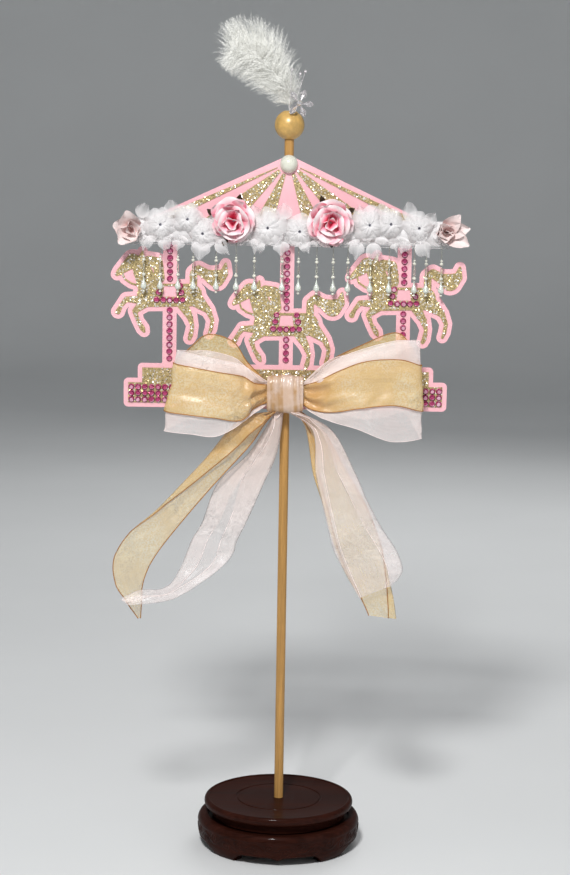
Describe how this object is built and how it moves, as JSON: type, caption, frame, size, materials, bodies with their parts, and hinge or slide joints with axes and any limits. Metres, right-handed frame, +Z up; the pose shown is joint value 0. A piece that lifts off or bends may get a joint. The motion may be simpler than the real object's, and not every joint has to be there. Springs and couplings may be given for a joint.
{
  "type": "carousel table centerpiece",
  "caption": "Flat die-cut carousel with horses, flower garland, bead fringe and ribbon bow on a dowel, standing in a carved wooden stand whose disc turns.",
  "frame": {"origin": "on the floor under the dowel, at the centre of the stand's four feet", "axes": "+Z up along the dowel, the carousel's decorated face towards -Y, +X to the viewer's right"},
  "size_m": [0.3042, 0.1436, 0.717],
  "materials": {
    "dark_wood": "glossy dark lacquer over carved wood",
    "bush_brass": "turned",
    "glide_felt": "pressed felt",
    "pivot_steel": "turned",
    "dowel_wood": "bare sanded wood",
    "gold_paint": "satin gold paint on wood",
    "clear_glue": "hot glue",
    "feather": "fluffy down",
    "clear_crystal": "clear faceted acrylic",
    "pearl": "pearl lustre",
    "pink_card": "matt card",
    "gold_glitter": "coarse glitter",
    "pink_stone": "foil-backed faceted acrylic",
    "white_felt": "felt",
    "rose_satin": "satin",
    "blossom_satin": "satin",
    "white_organza": "sheer organza",
    "gold_organza": "sheer organza with wired edges",
    "ivory_organza": "sheer organza",
    "clear_bead": "clear and pearl beads"
  },
  "bodies": {
    "stand": {"stand_base": "dark_wood", "base_bush": "bush_brass", "glide_ring": "glide_felt"},
    "turntable": {"turntable_disc": "dark_wood", "pivot_spigot": "pivot_steel", "retaining_washer": "pivot_steel", "dowel": "dowel_wood", "ball_finial": "gold_paint", "finial_glue": "clear_glue", "glue_seams": "clear_glue", "feather_quill": "feather", "feather_plume": "feather", "crystal_flower": "clear_crystal", "crystal_sprays": "clear_crystal", "rosette_gems": "clear_crystal", "apex_pearl": "pearl", "backing_card": "pink_card", "roof_stripes": "gold_glitter", "platform_glitter": "gold_glitter", "horse_left": "gold_glitter", "horse_center": "gold_glitter", "horse_right": "gold_glitter", "pole_stones": "pink_stone", "saddle_stones": "pink_stone", "platform_stones": "pink_stone", "garland_band": "white_felt", "fringe_tape": "white_felt", "rose_left": "rose_satin", "rose_right": "rose_satin", "blossom_left": "blossom_satin", "blossom_right": "blossom_satin", "rosettes_left": "white_organza", "rosettes_center": "white_organza", "rosettes_right": "white_organza", "gold_loop_left": "gold_organza", "gold_loop_right": "gold_organza", "gold_tail_left": "gold_organza", "gold_tail_right": "gold_organza", "ivory_loop_left": "ivory_organza", "ivory_loop_right": "ivory_organza", "ivory_tail_left": "ivory_organza", "ivory_tail_right": "ivory_organza", "bow_knot": "ivory_organza"},
    "bead_drop_01": {"bead_drop_01": "clear_bead"},
    "bead_drop_02": {"bead_drop_02": "clear_bead"},
    "bead_drop_03": {"bead_drop_03": "clear_bead"},
    "bead_drop_04": {"bead_drop_04": "clear_bead"},
    "bead_drop_05": {"bead_drop_05": "clear_bead"},
    "bead_drop_06": {"bead_drop_06": "clear_bead"},
    "bead_drop_07": {"bead_drop_07": "clear_bead"},
    "bead_drop_08": {"bead_drop_08": "clear_bead"},
    "bead_drop_09": {"bead_drop_09": "clear_bead"},
    "bead_drop_10": {"bead_drop_10": "clear_bead"},
    "bead_drop_11": {"bead_drop_11": "clear_bead"},
    "bead_drop_12": {"bead_drop_12": "clear_bead"},
    "bead_drop_13": {"bead_drop_13": "clear_bead"},
    "bead_drop_14": {"bead_drop_14": "clear_bead"},
    "bead_drop_15": {"bead_drop_15": "clear_bead"},
    "bead_drop_16": {"bead_drop_16": "clear_bead"},
    "bead_drop_17": {"bead_drop_17": "clear_bead"}
  },
  "joints": [
    {"name": "turntable_spin", "type": "hinge", "parent": "stand", "child": "turntable", "pos_m": [0, 0, 0.024], "axis": [0, 0, 1], "continuous": true},
    {"name": "bead_drop_01_swing", "type": "hinge", "parent": "turntable", "child": "bead_drop_01", "pos_m": [-0.122, -0.01247, 0.529], "axis": [-1, 0, 0], "range_deg": [-2, 25]},
    {"name": "bead_drop_02_swing", "type": "hinge", "parent": "turntable", "child": "bead_drop_02", "pos_m": [-0.108, -0.01247, 0.529], "axis": [-1, 0, 0], "range_deg": [-2, 25]},
    {"name": "bead_drop_03_swing", "type": "hinge", "parent": "turntable", "child": "bead_drop_03", "pos_m": [-0.093, -0.01247, 0.529], "axis": [-1, 0, 0], "range_deg": [-2, 25]},
    {"name": "bead_drop_04_swing", "type": "hinge", "parent": "turntable", "child": "bead_drop_04", "pos_m": [-0.08, -0.01247, 0.529], "axis": [-1, 0, 0], "range_deg": [-2, 25]},
    {"name": "bead_drop_05_swing", "type": "hinge", "parent": "turntable", "child": "bead_drop_05", "pos_m": [-0.0605, -0.01247, 0.529], "axis": [-1, 0, 0], "range_deg": [-2, 25]},
    {"name": "bead_drop_06_swing", "type": "hinge", "parent": "turntable", "child": "bead_drop_06", "pos_m": [-0.0435, -0.01247, 0.529], "axis": [-1, 0, 0], "range_deg": [-2, 25]},
    {"name": "bead_drop_07_swing", "type": "hinge", "parent": "turntable", "child": "bead_drop_07", "pos_m": [-0.028, -0.01247, 0.529], "axis": [-1, 0, 0], "range_deg": [-2, 25]},
    {"name": "bead_drop_08_swing", "type": "hinge", "parent": "turntable", "child": "bead_drop_08", "pos_m": [-0.0045, -0.01247, 0.529], "axis": [-1, 0, 0], "range_deg": [-2, 25]},
    {"name": "bead_drop_09_swing", "type": "hinge", "parent": "turntable", "child": "bead_drop_09", "pos_m": [0.0095, -0.01247, 0.529], "axis": [-1, 0, 0], "range_deg": [-2, 25]},
    {"name": "bead_drop_10_swing", "type": "hinge", "parent": "turntable", "child": "bead_drop_10", "pos_m": [0.025, -0.01247, 0.529], "axis": [-1, 0, 0], "range_deg": [-2, 25]},
    {"name": "bead_drop_11_swing", "type": "hinge", "parent": "turntable", "child": "bead_drop_11", "pos_m": [0.039, -0.01247, 0.529], "axis": [-1, 0, 0], "range_deg": [-2, 25]},
    {"name": "bead_drop_12_swing", "type": "hinge", "parent": "turntable", "child": "bead_drop_12", "pos_m": [0.0515, -0.01247, 0.529], "axis": [-1, 0, 0], "range_deg": [-2, 25]},
    {"name": "bead_drop_13_swing", "type": "hinge", "parent": "turntable", "child": "bead_drop_13", "pos_m": [0.0705, -0.01247, 0.529], "axis": [-1, 0, 0], "range_deg": [-2, 25]},
    {"name": "bead_drop_14_swing", "type": "hinge", "parent": "turntable", "child": "bead_drop_14", "pos_m": [0.0865, -0.01247, 0.529], "axis": [-1, 0, 0], "range_deg": [-2, 25]},
    {"name": "bead_drop_15_swing", "type": "hinge", "parent": "turntable", "child": "bead_drop_15", "pos_m": [0.108, -0.01247, 0.529], "axis": [-1, 0, 0], "range_deg": [-2, 25]},
    {"name": "bead_drop_16_swing", "type": "hinge", "parent": "turntable", "child": "bead_drop_16", "pos_m": [0.118, -0.01247, 0.529], "axis": [-1, 0, 0], "range_deg": [-2, 25]},
    {"name": "bead_drop_17_swing", "type": "hinge", "parent": "turntable", "child": "bead_drop_17", "pos_m": [0.131, -0.01247, 0.529], "axis": [-1, 0, 0], "range_deg": [-2, 25]}
  ]
}
